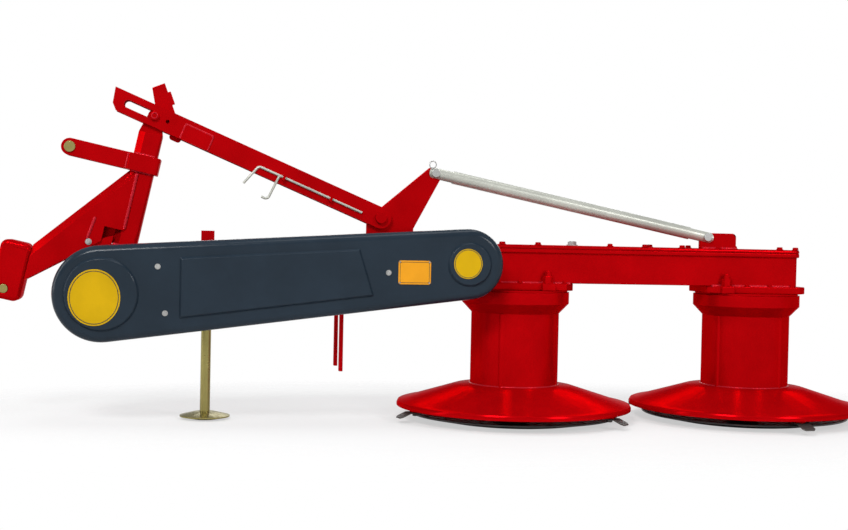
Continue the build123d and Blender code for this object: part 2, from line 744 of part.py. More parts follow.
# Top link strap: a collar round the mast with two bars and the pin between them
collar_width = MAST_WIDTH + 2 * STRAP_WALL
with BuildPart() as strap:
    with BuildSketch(head_plane):
        with Locations((MAST_OFFSET, STRAP_RISE)):
            Rectangle(collar_width, STRAP_HEIGHT)
    extrude(amount=collar_width / 2, both=True)
    fillet(strap.edges().filter_by(along), radius=MAST_CORNER)
    with BuildSketch(head_plane):
        with Locations((MAST_OFFSET, STRAP_RISE)):
            Rectangle(MAST_WIDTH, 2 * STRAP_HEIGHT)
    extrude(amount=MAST_WIDTH / 2, both=True, mode=Mode.SUBTRACT)
    for way in (-1, 1):
        with BuildSketch(head_plane.offset(way * (STRAP_GAP + STRAP_WALL) / 2)):
            with Locations(((mast_left + STRAP_PIN_X - STRAP_WALL) / 2, STRAP_RISE)):
                Rectangle(mast_left - STRAP_WALL - STRAP_PIN_X, STRAP_HEIGHT)
            with Locations((STRAP_PIN_X, STRAP_RISE)):
                Circle(STRAP_HEIGHT / 2)
                Circle(TOP_PIN_RADIUS + RUNNING_FIT, mode=Mode.SUBTRACT)
        extrude(amount=STRAP_WALL / 2, both=True)
finish(strap, "top_link_strap")


def cross_pin(plane, place, radius, half_length):
    """A pin across the machine with a flat head at each end."""
    head_radius = radius * PIN_HEAD
    head = radius / 2
    with BuildPart() as pin:
        with BuildSketch(plane):
            with Locations(place):
                Circle(radius)
        extrude(amount=half_length, both=True)
        for way in (-1, 1):
            with BuildSketch(plane.offset(way * (half_length + head / 2))):
                with Locations(place):
                    Circle(head_radius)
            extrude(amount=head / 2, both=True)
    return pin


strap_half = STRAP_GAP / 2 + STRAP_WALL
bar_half = BAR_WIDTH / 2
# Columns: name, plane, place, radius, half length between the heads
PINS = (
    ("top_link_pin", head_plane, (STRAP_PIN_X, STRAP_RISE), TOP_PIN_RADIUS, strap_half),
    ("lift_pin", head_plane, (MAST_OFFSET, lift_pin_rise), LIFT_PIN_RADIUS, bar_half + SOFT_GAP),
    ("bar_pin", Plane.XZ, (BAR_PIN_X, BAR_PIN_Z), BAR_PIN_RADIUS, bar_half + SOFT_GAP),
    ("tie_pin_inner", Plane.XZ, (TIE_INNER_X, TIE_INNER_Z), TIE_PIN_RADIUS, TIE_RADIUS),
    ("tie_pin_outer", Plane.XZ, (TIE_OUTER_X, TIE_OUTER_Z), TIE_PIN_RADIUS, TIE_RADIUS),
)
for name, *pin_row in PINS:
    finish(cross_pin(*pin_row), name)

# Lift bar: a channel, open below, between the mast and the bracket. Its line runs from pin to pin
lift_pin_at = head_plane.from_local_coords(Vector(MAST_OFFSET, lift_pin_rise, 0))
bar_run = hypot(BAR_PIN_X - lift_pin_at.X, BAR_PIN_Z - lift_pin_at.Z)
bar_plane = Plane(
    origin=(BAR_PIN_X, 0, BAR_PIN_Z),
    x_dir=(BAR_PIN_X - lift_pin_at.X, 0, BAR_PIN_Z - lift_pin_at.Z),
    z_dir=(0, -1, 0),
)
slot_radius = LIFT_PIN_RADIUS + SLOT_SLACK
bar_across = Plane(origin=bar_plane.origin, x_dir=(0, 1, 0), z_dir=bar_plane.x_dir)
rod_y = -(BAR_WIDTH / 2 + ROD_RADIUS + ROD_GAP)
half_depth = BAR_DEPTH / 2
with BuildPart() as lift_bar:
    with BuildSketch(bar_plane):
        with BuildLine():
            Polyline(
                (0, half_depth),
                (-BAR_LENGTH - BAR_TIP_RAKE / 2, half_depth),
                (-BAR_LENGTH + BAR_TIP_RAKE / 2, BAR_TIP_CUT - half_depth),
                (BAR_TIP_CUT - BAR_LENGTH + BAR_TIP_RAKE / 2, -half_depth),
                (0, -half_depth),
                close=True,
            )
        make_face()
        Circle(half_depth)
    extrude(amount=BAR_WIDTH / 2, both=True)
    with BuildSketch(bar_plane):
        with Locations((-BAR_LENGTH / 2, -BAR_WALL)):
            Rectangle(BAR_LENGTH + 2 * BAR_DEPTH, BAR_DEPTH)
        Rectangle(2 * BAR_TOP_END, 2 * BAR_DEPTH)
    extrude(amount=BAR_WIDTH / 2 - BAR_WALL, both=True, mode=Mode.SUBTRACT)
    with BuildSketch(bar_plane):
        Circle(BAR_PIN_RADIUS + RUNNING_FIT)
        with Locations((-bar_run - SLOT_TRAVEL / 2, 0)):
            SlotCenterToCenter(SLOT_TRAVEL, 2 * slot_radius)
    extrude(amount=BAR_WIDTH, both=True, mode=Mode.SUBTRACT)
    with BuildSketch(bar_plane.offset(BAR_WIDTH / 2)):
        with Locations((SPARE_HOLE_FROM_PIN - bar_run, 0)):
            Circle(SPARE_HOLE_RADIUS)
    extrude(amount=-BAR_WALL, mode=Mode.SUBTRACT)
    with BuildSketch(bar_plane.offset(BAR_WIDTH / 2)):
        with Locations((PATCH_FROM_PIN - bar_run, (PATCH_TOP - half_depth) / 2)):
            RectangleRounded(PATCH_LENGTH, PATCH_TOP + half_depth, PATCH_CORNER)
    extrude(amount=PATCH_THICKNESS)
    for guide_x in (GUIDE_NEAR, GUIDE_FAR):
        with BuildSketch(bar_plane.offset(BAR_WIDTH / 2)):
            with Locations((-guide_x, ROD_DROP)):
                Rectangle(GUIDE_THICKNESS, 5 * ROD_RADIUS)
        extrude(amount=4 * ROD_RADIUS)
        with BuildSketch(bar_across.offset(-guide_x)):
            with Locations((rod_y, ROD_DROP)):
                Circle(ROD_RADIUS + ROD_GAP)
        extrude(amount=2 * GUIDE_THICKNESS, both=True, mode=Mode.SUBTRACT)
finish(lift_bar, "lift_bar")

# Latch lever on the bar's top, its hook inside the bar, and the bent rod that trips it
lever_foot = LEVER_FROM_PIN - bar_run
lever_left = lever_foot - LEVER_WIDTH
lever_slant = -degrees(atan2(LEVER_RISE, LEVER_WIDTH))
with BuildPart() as lever:
    with BuildSketch(bar_plane):
        with BuildLine():
            Polyline(
                (lever_left, half_depth),
                (lever_left - LEVER_LEAN, half_depth + LEVER_RISE - LEVER_LEAN),
                (lever_left, half_depth + LEVER_RISE),
                (lever_foot, half_depth),
                close=True,
            )
        make_face()
        with Locations(Location(((lever_left + lever_foot) / 2, half_depth + LEVER_RISE / 2), lever_slant)):
            Rectangle(LEVER_TAB_LENGTH, 2 * LEVER_TAB_RISE)
        with Locations((HOOK_FROM_PIN - bar_run, -(HOOK_DROP + BAR_WALL) / 2)):
            RectangleRounded(HOOK_WIDTH, BAR_DEPTH + HOOK_DROP - BAR_WALL, HOOK_CORNER)
    extrude(amount=LEVER_THICKNESS / 2, both=True)
finish(lever, "latch_lever")

rod_plane = bar_plane.offset(-rod_y)
handle_foot = (ROD_BEND - ROD_HANDLE - ROD_HANDLE_DROP / 2, ROD_DROP - ROD_HANDLE_DROP)
trip_foot = (-ROD_TRIP - ROD_RADIUS, ROD_DROP - ROD_TRIP_DROP)
# Columns: points of one run of the rod, along and across the bar from its pin
ROD_RUNS = (
    ((-ROD_START, ROD_DROP), (-ROD_HANDLE, ROD_DROP), handle_foot),
    ((-ROD_TRIP, ROD_DROP), trip_foot, (-ROD_TRIP - ROD_HOOK, ROD_DROP - ROD_TRIP_DROP)),
)
with BuildPart() as rod:
    for run in ROD_RUNS:
        with BuildLine(rod_plane) as path:
            FilletPolyline(*run, radius=ROD_BEND)
        with BuildSketch(Plane(origin=path.line @ 0, z_dir=path.line % 0)):
            Circle(ROD_RADIUS)
        sweep(path=path.line)
finish(rod, "latch_rod")

# Bracket on the carrier arm that holds the lift bar and the tie rod
foot_left = BAR_PIN_X - BRACKET_FOOT_LEFT
foot_right = BAR_PIN_X + BRACKET_FOOT_RIGHT
with BuildPart() as bracket:
    with BuildSketch(Plane.XZ):
        with BuildLine():
            Polyline(
                (foot_left, arm_mid(foot_left)),
                (foot_right, arm_mid(foot_right)),
                (foot_right, BAR_PIN_Z - BRACKET_EDGE),
                (TIE_INNER_X + BRACKET_TIP, TIE_INNER_Z - BRACKET_TIP),
                (TIE_INNER_X - BRACKET_TIP, TIE_INNER_Z + BRACKET_TIP),
                (BAR_PIN_X, BAR_PIN_Z + BRACKET_EDGE),
                (foot_left, BAR_PIN_Z),
                close=True,
            )
        make_face()
        with BuildLine():
            Polyline(*arm_corners(0), close=True)
        make_face(mode=Mode.SUBTRACT)
        with Locations((BAR_PIN_X, BAR_PIN_Z)):
            Circle(BAR_PIN_RADIUS + RUNNING_FIT, mode=Mode.SUBTRACT)
        with Locations((TIE_INNER_X, TIE_INNER_Z)):
            Circle(TIE_PIN_RADIUS + RUNNING_FIT, mode=Mode.SUBTRACT)
    extrude(amount=BRACKET_THICKNESS / 2, both=True)
finish(bracket, "lift_bracket")

# Tie rod: a tube forked at both ends
tie_run = hypot(TIE_OUTER_X - TIE_INNER_X, TIE_OUTER_Z - TIE_INNER_Z)
tie_way = (TIE_OUTER_X - TIE_INNER_X, 0, TIE_OUTER_Z - TIE_INNER_Z)
tie_plane = Plane(origin=(TIE_INNER_X, 0, TIE_INNER_Z), x_dir=(0, 1, 0), z_dir=tie_way)
tie_side = Plane(origin=(TIE_INNER_X, 0, TIE_INNER_Z), x_dir=tie_way, z_dir=(0, -1, 0))
with BuildPart() as tie:
    with BuildSketch(tie_plane.offset(-TIE_RADIUS)):
        Circle(TIE_RADIUS)
    extrude(amount=tie_run + 2 * TIE_RADIUS)
    with BuildSketch(tie_side):
        with Locations((tie_run / 2, 0)):
            SlotCenterToCenter(tie_run, 2 * TIE_RADIUS)
    extrude(amount=TIE_RADIUS, both=True, mode=Mode.INTERSECT)
    for centre in (0, tie_run):
        with BuildSketch(tie_plane.offset(centre)):
            Rectangle(BRACKET_THICKNESS + 2 * RUNNING_FIT, 4 * TIE_RADIUS)
        extrude(amount=FORK_DEPTH, both=True, mode=Mode.SUBTRACT)
    with BuildSketch(Plane.XZ):
        with Locations((TIE_INNER_X, TIE_INNER_Z), (TIE_OUTER_X, TIE_OUTER_Z)):
            Circle(TIE_PIN_RADIUS + RUNNING_FIT)
    extrude(amount=2 * TIE_RADIUS, both=True, mode=Mode.SUBTRACT)
finish(tie, "tie_rod")

lug_top = TIE_OUTER_Z + CLEVIS_RISE
with BuildPart() as tie_lug:
    with BuildSketch(Plane.XZ):
        with Locations((TIE_OUTER_X + CLEVIS_LENGTH / 2 - TIE_RADIUS, (cover_top + lug_top) / 2)):
            Rectangle(CLEVIS_LENGTH, lug_top - cover_top)
    extrude(amount=BRACKET_THICKNESS / 2, both=True)
    fillet(tie_lug.edges().filter_by(Axis.Y).group_by(Axis.Z)[-1], radius=CLEVIS_RISE)
    with BuildSketch(Plane.XZ):
        with Locations((TIE_OUTER_X, TIE_OUTER_Z)):
            Circle(TIE_PIN_RADIUS + RUNNING_FIT)
    extrude(amount=BRACKET_THICKNESS, both=True, mode=Mode.SUBTRACT)
finish(tie_lug, "tie_lug")

# Parking stand: a tube with a dished foot, sliding in a sleeve through the arm
with BuildPart() as sleeve:
    with BuildSketch(Plane.XY.offset(SLEEVE_BOTTOM)):
        with Locations((STAND_X, 0)):
            Rectangle(SLEEVE_WIDTH, SLEEVE_WIDTH)
            Circle(STAND_RADIUS + RUNNING_FIT, mode=Mode.SUBTRACT)
    extrude(amount=SLEEVE_TOP - SLEEVE_BOTTOM)
finish(sleeve, "stand_sleeve")

with BuildPart() as stand:
    with BuildSketch(Plane.XY):
        with Locations((STAND_X, 0)):
            Circle(STAND_RADIUS)
    extrude(amount=STAND_TOP)
    with BuildSketch(Plane(origin=(STAND_X, 0, 0), x_dir=(1, 0, 0), z_dir=(0, -1, 0))):
        with BuildLine():
            Polyline(
                (0, 0),
                (FOOT_RADIUS / 2, 0),
                (FOOT_RADIUS, FOOT_HEIGHT / 3),
                (FOOT_RADIUS, FOOT_HEIGHT / 2),
                (2 * STAND_RADIUS, FOOT_HEIGHT),
                (0, FOOT_HEIGHT),
                close=True,
            )
        make_face()
    revolve(axis=Axis((STAND_X, 0, 0), (0, 0, 1)))
    with BuildSketch(Plane.XZ):
        with Locations((STAND_X, STAND_HOLE_FLOOR + STAND_HOLE_PITCH * (STAND_HOLE_COUNT - 1) / 2)):
            with GridLocations(0, STAND_HOLE_PITCH, 1, STAND_HOLE_COUNT):
                Circle(STAND_HOLE_RADIUS)
    extrude(amount=2 * STAND_RADIUS, both=True, mode=Mode.SUBTRACT)
finish(stand, "stand")

# Hanging bars: a yoke under the arm with one bar on each side
with BuildPart() as hanger:
    with BuildSketch(Plane.YZ.offset(HANGER_X - HANGER_THICKNESS / 2)):
        with Locations((0, arm_mid(HANGER_X) - ARM_HEIGHT / 2)):
            Rectangle(2 * HANGER_REACH + HANGER_WIDTH, HANGER_WIDTH)
        for way in (-1, 1):
            with Locations((way * HANGER_REACH, (HANGER_FLOOR + arm_mid(HANGER_X) - ARM_HEIGHT / 2) / 2)):
                Rectangle(HANGER_WIDTH, arm_mid(HANGER_X) - ARM_HEIGHT / 2 - HANGER_FLOOR)
    extrude(amount=HANGER_THICKNESS)
    with BuildSketch(Plane.XZ):
        with BuildLine():
            Polyline(*arm_corners(0), close=True)
        make_face()
    extrude(amount=ARM_WIDTH / 2, both=True, mode=Mode.SUBTRACT)
finish(hanger, "hanging_bars")
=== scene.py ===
"""Looks of the drum mower: materials, fasteners, welds, blank signs, studio light and the camera."""

import json
import random
from math import cos, pi, radians, sin

import bmesh
import bpy
from mathutils import Matrix, Vector


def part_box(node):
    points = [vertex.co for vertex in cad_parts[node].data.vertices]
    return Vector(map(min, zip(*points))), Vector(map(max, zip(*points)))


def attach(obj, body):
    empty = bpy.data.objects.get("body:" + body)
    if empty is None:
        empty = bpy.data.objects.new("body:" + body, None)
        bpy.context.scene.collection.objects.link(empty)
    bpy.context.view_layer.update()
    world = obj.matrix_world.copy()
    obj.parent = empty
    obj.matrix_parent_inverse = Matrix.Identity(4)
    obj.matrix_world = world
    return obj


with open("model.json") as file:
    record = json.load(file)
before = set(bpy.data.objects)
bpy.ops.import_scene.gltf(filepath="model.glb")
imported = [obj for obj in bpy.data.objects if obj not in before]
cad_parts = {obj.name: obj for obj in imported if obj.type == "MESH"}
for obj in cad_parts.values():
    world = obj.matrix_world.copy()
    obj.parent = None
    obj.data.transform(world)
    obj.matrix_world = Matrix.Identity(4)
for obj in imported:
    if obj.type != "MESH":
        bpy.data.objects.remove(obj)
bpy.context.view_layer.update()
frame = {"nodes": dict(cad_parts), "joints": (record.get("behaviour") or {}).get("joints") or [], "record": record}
nodes = frame["nodes"]
record = frame["record"]
scene = bpy.context.scene

# Directions, and places that the frame gives. All lengths are in metres
UP = (0, 0, 1)
DOWN = (0, 0, -1)
NEAR = (0, -1, 0)
FAR = (0, 1, 0)
OUTWARD = (1, 0, 0)
joint_at = {row["name"]: row.get("pos_m") for row in frame["joints"]}
DRUM_X = {side: joint_at[f"drum_{side}_spin"][0] for side in ("inner", "outer")}
PIVOT_X = joint_at["float_hinge"][0]
PIVOT_Z = joint_at["float_hinge"][2]
BAR_X = joint_at["lift_bar_hinge"][0]
BAR_Z = joint_at["lift_bar_hinge"][2]
COVER_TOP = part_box("beam_cover")[1].z
FLANGE_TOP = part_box("spindle_inner")[1].z
DRUM_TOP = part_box("drum_inner")[1].z
SIGN_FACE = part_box("belt_guard")[0].y
CAP_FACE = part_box("bearing_housing")[1].y
STAND_X = sum(corner.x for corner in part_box("stand_sleeve")) / 2

# Faces inside a node's box: the guard's flat behind its raised rounds, and the beam's end behind its lips
GUARD_FLAT = -0.250
BEAM_END = 0.953


# Materials: every one is procedural, with colour, roughness and height varied by noise

NOISE_ROUGHNESS = 0.55
MOTTLE_SCALE = 7.0
MOTTLE_RANGE = (0.35, 0.65)
MOTTLE_SHADES = (0.90, 1.08)
GLOSS_SCALE = 40.0
GLOSS_RANGE = (0.3, 0.7)
GLOSS_SPREAD = (0.85, 1.2)
DUST_COLOUR = (0.32, 0.27, 0.22)
DUST_SCALE = 24.0
DUST_RANGE = (0.25, 0.9)
DUST_MOST = 0.35
FINE_DETAIL = 4.0
SKIN_DETAIL = 2.0
SKIN_STRENGTH = 0.35
COAT_ROUGHNESS = 0.06


class Graph:
    """A node tree, with short helpers to add nodes and links."""

    def __init__(self, tree):
        self.tree = tree
        self.tree.nodes.clear()

    def add(self, kind, values=()):
        """Adds a node and sets its inputs by name."""
        node = self.tree.nodes.new(f"ShaderNode{kind}")
        for name, value in dict(values).items():
            node.inputs[name].default_value = value
        return node

    def link(self, start, end):
        self.tree.links.new(start, end)

    def feed(self, node, *values):
        """Links values to a node's inputs in their order."""
        for value, end in zip(values, node.inputs):
            self.link(value, end)

    def ramp(self, value, low, high, start=0.0, end=1.0):
        node = self.add("MapRange", {"From Min": low, "From Max": high, "To Min": start, "To Max": end})
        self.link(value, node.inputs["Value"])
        return node.outputs["Result"]

    def math(self, operation, *values):
        node = self.add("Math")
        node.operation = operation
        self.feed(node, *values)
        return node.outputs["Value"]

    def height(self, place):
        """The Z of a place."""
        split = self.add("SeparateXYZ")
        self.link(place, split.inputs["Vector"])
        return split.outputs["Z"]

    def blend(self, factor, first, second):
        """Mixes two shaders."""
        node = self.add("MixShader")
        self.feed(node, factor, first, second)
        return node.outputs["Shader"]


class Shader(Graph):
    """One material with a Principled shader, and patterns in the object's coordinates."""

    def __init__(self, name):
        self.material = bpy.data.materials.new(name)
        self.material.use_nodes = True
        super().__init__(self.material.node_tree)
        self.out = self.add("OutputMaterial")
        self.bsdf = self.add("BsdfPrincipled")
        self.link(self.bsdf.outputs["BSDF"], self.out.inputs["Surface"])
        self.coord = self.add("TexCoord").outputs["Object"]

    def mapped(self, values):
        """The object's coordinates, shifted or scaled."""
        node = self.add("Mapping", values)
        self.link(self.coord, node.inputs["Vector"])
        return node.outputs["Vector"]

    def noise(self, scale, detail, stretch=None):
        node = self.add("TexNoise", {"Scale": scale, "Detail": detail, "Roughness": NOISE_ROUGHNESS})
        place = self.mapped({"Scale": stretch}) if stretch else self.coord
        self.link(place, node.inputs["Vector"])
        return node.outputs["Fac"]

    def mix(self, factor, a, b):
        """Mixes two colours, each a value or an output."""
        node = self.add("Mix")
        node.data_type = "RGBA"
        self.link(factor, node.inputs["Factor"])
        for name, value in (("A", a), ("B", b)):
            end = [s for s in node.inputs if s.name == name and s.type == "RGBA"][0]
            if isinstance(value, tuple):
                end.default_value = (*value, 1.0)
            else:
                self.link(value, end)
        return [s for s in node.outputs if s.type == "RGBA"][0]

    def bump(self, height, strength, distance):
        node = self.add("Bump", {"Strength": strength, "Distance": distance})
        self.link(height, node.inputs["Height"])
        self.link(node.outputs["Normal"], self.bsdf.inputs["Normal"])

    def floor_dust(self, height):
        """How dusty a point is: most at the floor, fading out with height, broken up by noise."""
        fade = self.ramp(self.height(self.coord), 0.0, height, 1.0, 0.0)
        return self.math("MULTIPLY", fade, self.noise(DUST_SCALE, FINE_DETAIL))


def shade(colour, amount):
    return tuple(min(1.0, c * amount) for c in colour)


def surface(
    name, colour, rough, metal=0.0, coat=0.0, gloss=0.5, tint=None, dust=0.0, grain=220.0, height=0.0002,
    streak=None,
):
    """A paint, metal or rubber finish with mottled colour, uneven gloss and a fine skin."""
    made = Shader(name)
    mottle = made.ramp(made.noise(MOTTLE_SCALE, FINE_DETAIL), *MOTTLE_RANGE)
    base = made.mix(mottle, *(shade(colour, amount) for amount in MOTTLE_SHADES))
    if dust:
        base = made.mix(made.ramp(made.floor_dust(dust), *DUST_RANGE, 0.0, DUST_MOST), base, DUST_COLOUR)
    made.link(base, made.bsdf.inputs["Base Color"])
    uneven = (rough * share for share in GLOSS_SPREAD)
    roughness = made.ramp(made.noise(GLOSS_SCALE, FINE_DETAIL), *GLOSS_RANGE, *uneven)
    made.link(roughness, made.bsdf.inputs["Roughness"])
    made.bsdf.inputs["Metallic"].default_value = metal
    made.bsdf.inputs["Coat Weight"].default_value = coat
    made.bsdf.inputs["Coat Roughness"].default_value = COAT_ROUGHNESS
    made.bsdf.inputs["Specular IOR Level"].default_value = gloss
    if tint:
        made.bsdf.inputs["Specular Tint"].default_value = (*tint, 1.0)
    made.bump(made.noise(grain, SKIN_DETAIL, streak), SKIN_STRENGTH, height)
    return made.material


# The red paint's shine is red too, so that the white surroundings don't wash it out
RED = (0.46, 0.0012, 0.003)
RED_SHINE = (1.0, 0.06, 0.10)
SMOOTH_PAINT = dict(height=0.00005, grain=45.0)
PRINT = dict(rough=0.35, grain=300.0, gloss=0.12)
FINISH_VALUES = {
    "red_paint": dict(colour=RED, rough=0.20, metal=0.3, gloss=0.0, tint=RED_SHINE, **SMOOTH_PAINT),
    # Weld beads: a paler, pinker red than the paint, which is a painted highlight along the beads
    "red_bead_painted_highlight": dict(
        colour=(0.53, 0.018, 0.03), rough=0.20, metal=0.3, gloss=0.2, tint=RED_SHINE, grain=200.0
    ),
    "slate_paint": dict(colour=(0.0165, 0.028, 0.042), rough=0.22, gloss=0.16, **SMOOTH_PAINT),
    "black_paint": dict(colour=(0.014, 0.012, 0.012), rough=0.42, coat=0.1, dust=0.05),
    "dark_steel": dict(colour=(0.10, 0.09, 0.085), rough=0.5, metal=0.8, dust=0.05),
    "grey_iron": dict(colour=(0.21, 0.21, 0.22), rough=0.55, metal=0.7, height=0.0006, grain=140.0),
    "belt_rubber": dict(colour=(0.018, 0.018, 0.018), rough=0.75, height=0.0004),
    "silver_paint": dict(colour=(0.53, 0.54, 0.48), rough=0.36, metal=0.28, gloss=0.35),
    "gold_zinc": dict(colour=(0.31, 0.265, 0.09), rough=0.30, metal=0.88, streak=(1.0, 1.0, 0.12)),
    "bright_steel": dict(colour=(0.44, 0.44, 0.43), rough=0.34, metal=0.9),
    "sign_yellow": dict(colour=(0.68, 0.41, 0.005), **PRINT),
    "sign_orange": dict(colour=(0.86, 0.36, 0.018), **PRINT),
    "ink": dict(colour=(0.018, 0.020, 0.018), rough=0.4, grain=300.0),
}
FINISH = {name: surface(name, **values) for name, values in FINISH_VALUES.items()}


# Finish, smooth shading and rounded edges for the pieces of the frame

MERGE_GAP = 0.00002
FLAT_ANGLE = radians(0.4)
SHARP_ANGLE = radians(32)
EDGE_SEGMENTS = 2
NORMAL_WEIGHT = 50
USUAL_EDGE = 0.0014
EDGE = {
    "drum_inner": 0.003, "drum_outer": 0.003, "spindle_inner": 0.003, "spindle_outer": 0.003,
    "beam_cover": 0.004, "gear_beam": 0.003, "lift_bar": 0.0025, "mast": 0.003, "hitch_arm": 0.002,
    "hitch_block": 0.004,
}


def dress(node, finish, edge):
    """The stored mesh keeps its shape: modifiers join its triangles to flats and round the sharp edges."""
    node.data.materials.clear()
    node.data.materials.append(finish)
    for face in node.data.polygons:
        face.use_smooth = True
    weld = node.modifiers.new("weld", "WELD")
    weld.merge_threshold = MERGE_GAP
    flats = node.modifiers.new("flats", "DECIMATE")
    flats.decimate_type = "DISSOLVE"
    flats.angle_limit = FLAT_ANGLE
    bevel = node.modifiers.new("bevel", "BEVEL")
    bevel.width = edge
    bevel.segments = EDGE_SEGMENTS
    bevel.limit_method = "ANGLE"
    bevel.angle_limit = SHARP_ANGLE
    bevel.use_clamp_overlap = True
    normals = node.modifiers.new("normals", "WEIGHTED_NORMAL")
    normals.keep_sharp = True
    normals.weight = NORMAL_WEIGHT


slot_of = {row["node"]: row["material_slot"] for row in record["subparts"]}
for name, node in nodes.items():
    dress(node, FINISH[slot_of[name]], EDGE.get(name, USUAL_EDGE))


# Helpers for added pieces

HEX = 6
ROUND = 20


def piece(name, bm, body, slot_name, finish=None, smooth=False):
    """Turns a bmesh into a piece that rides on a body and takes a slot's finish, or another one."""
    mesh = bpy.data.meshes.new(name)
    bm.to_mesh(mesh)
    bm.free()
    made = bpy.data.objects.new(name, mesh)
    scene.collection.objects.link(made)
    mesh.materials.append(FINISH[finish or slot_name])
    for face in mesh.polygons:
        face.use_smooth = smooth
    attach(made, body)
    return made


def towards(axis):
    """Turns +Z to an axis."""
    return Vector(UP).rotation_difference(Vector(axis)).to_matrix().to_4x4()


def prism(bm, at, axis, radius, height, sides, top=1.0, turn=0.0):
    """A prism or cone that stands on a point along an axis."""
    place = Matrix.Translation(Vector(at)) @ towards(axis) @ Matrix.Rotation(turn, 4, "Z")
    lift = Matrix.Translation((0, 0, height / 2))
    bmesh.ops.create_cone(
        bm, cap_ends=True, segments=sides, radius1=radius, radius2=radius * top, depth=height,
        matrix=place @ lift,
    )


def stack(bm, at, axis, stages, turn):
    """Prisms one on the other. Each stage has a radius, a height, sides and the top's share of the radius."""
    at = Vector(at)
    axis = Vector(axis).normalized()
    for radius, height, sides, top in stages:
        prism(bm, at, axis, radius, height, sides, top, turn if sides == HEX else 0.0)
        at = at + axis * height


# A bolt's washer, head and crown: share of the corner radius, share of the flats, sides, top's share
FLATS_PER_CORNER = 1.732
BOLT_STAGES = ((1.25, 0.12, ROUND, 1.0), (1.0, 0.38, HEX, 1.0), (0.86, 0.06, HEX, 0.85))
BOLT_TURN = 0.7


def bolts(name, body, slot_name, places, axis, flats):
    """Bolts at places, each turned further than the one before it."""
    radius = flats / FLATS_PER_CORNER
    stages = [(radius * wide, flats * high, sides, top) for wide, high, sides, top in BOLT_STAGES]
    bm = bmesh.new()
    for i, at in enumerate(places):
        stack(bm, at, axis, stages, BOLT_TURN * i)
    return piece(name, bm, body, slot_name)


# Cover bolts, the filler plug and the plugs in the beam's end. Columns: X of the near row, X of the far row
COVER_BOLTS = (
    (-0.25, -0.25), (-0.16, -0.15), (-0.069, -0.028), (0.052, 0.095), (0.296, 0.35),
    (0.416, 0.492), (0.545, 0.631), (0.671, 0.74), (0.888, 0.80),
)
COVER_ROW_Y = 0.089
COVER_END_X = 0.945
COVER_END_Y = 0.035
FILLER_AT = (0.177, -0.05)
END_PLUGS = ((0.0, 0.478), (0.045, 0.515))

cover_places = [(x, -COVER_ROW_Y, COVER_TOP) for x, far_x in COVER_BOLTS]
cover_places += [(far_x, COVER_ROW_Y, COVER_TOP) for x, far_x in COVER_BOLTS]
cover_places += [(COVER_END_X, y, COVER_TOP) for y in (-COVER_ROW_Y, COVER_END_Y)]
bolts("cover_bolts", "mower", "red_paint", cover_places, UP, flats=0.016)
bolts("filler_plug", "mower", "bright_steel", [(*FILLER_AT, COVER_TOP)], UP, flats=0.026)
bolts("end_plugs", "mower", "bright_steel", [(BEAM_END, y, z) for y, z in END_PLUGS], OUTWARD, flats=0.019)

# A stud with its nut on each ear of the flanges: washer, nut, its crown, stud and its tip
EAR_X = (0.082, 0.695)
EAR_Y = 0.1135
NUT_TURN = 0.26
STUD_STAGES = (
    (0.0185, 0.003, 28, 1.0),
    (0.0172, 0.019, HEX, 1.0),
    (0.0150, 0.0025, HEX, 0.8),
    (0.0105, 0.014, ROUND, 1.0),
    (0.0105, 0.0025, ROUND, 0.75),
)
bm = bmesh.new()
for x in EAR_X:
    for y in (-EAR_Y, EAR_Y):
        stack(bm, (x, y, FLANGE_TOP), UP, STUD_STAGES, NUT_TURN)
piece("flange_studs", bm, "mower", "red_paint")

# Small bolts along the edges of the flanges
FLANGE_BOLTS = {"inner": (-0.08, -0.01, 0.14), "outer": (-0.04, 0.04, 0.12)}
FLANGE_BOLT_Y = 0.1035
flange_places = [
    (DRUM_X[side] + along, y, FLANGE_TOP)
    for side, row in FLANGE_BOLTS.items()
    for along in row
    for y in (-FLANGE_BOLT_Y, FLANGE_BOLT_Y)
]
bolts("flange_bolts", "mower", "red_paint", flange_places, UP, flats=0.0125)

# A dust seal in the running gap between each drum and its flange
RUNNING_GAP = 0.006
SEAL_PLAY_BELOW = 0.0008
SEAL_PLAY_ABOVE = 0.0004
SEAL_RADIUS = 0.172
SEAL_SIDES = 72
SEAL_FLOOR = DRUM_TOP + SEAL_PLAY_BELOW
SEAL_HEIGHT = RUNNING_GAP - SEAL_PLAY_BELOW - SEAL_PLAY_ABOVE
for side, axis_x in DRUM_X.items():
    bm = bmesh.new()
    prism(bm, (axis_x, 0.0, SEAL_FLOOR), UP, SEAL_RADIUS, SEAL_HEIGHT, SEAL_SIDES)
    piece(f"dust_seal_{side}", bm, "mower", "red_paint")

# The stand's pin holes, filled flush so that the tube looks plain
PIN_HOLES_Z = (0.13, 0.19, 0.25, 0.31)
PIN_HOLE_RADIUS = 0.005
PLUG_LENGTH = 0.0300
bm = bmesh.new()
for z in PIN_HOLES_Z:
    prism(bm, (STAND_X, -PLUG_LENGTH / 2, z), FAR, PIN_HOLE_RADIUS, PLUG_LENGTH, ROUND)
piece("stand_plugs", bm, "stand", "gold_zinc")

# Knife bolts below the rims
KNIVES = 3
FIRST_KNIFE = {"inner": radians(76), "outer": radians(37)}
KNIFE_BOLT_RADIUS = 0.36
KNIFE_BOLT_Z = 0.031


def ring_places(centre, radius, count, first):
    """Points at even angles round a centre in a plane."""
    angles = [first + 2 * pi * i / count for i in range(count)]
    return [(centre[0] + radius * cos(a), centre[1] + radius * sin(a)) for a in angles]


for side, axis_x in DRUM_X.items():
    places = ring_places((axis_x, 0.0), KNIFE_BOLT_RADIUS, KNIVES, FIRST_KNIFE[side])
    places = [(x, y, KNIFE_BOLT_Z) for x, y in places]
    bolts(f"knife_bolts_{side}", f"drum_{side}", "dark_steel", places, DOWN, flats=0.016)

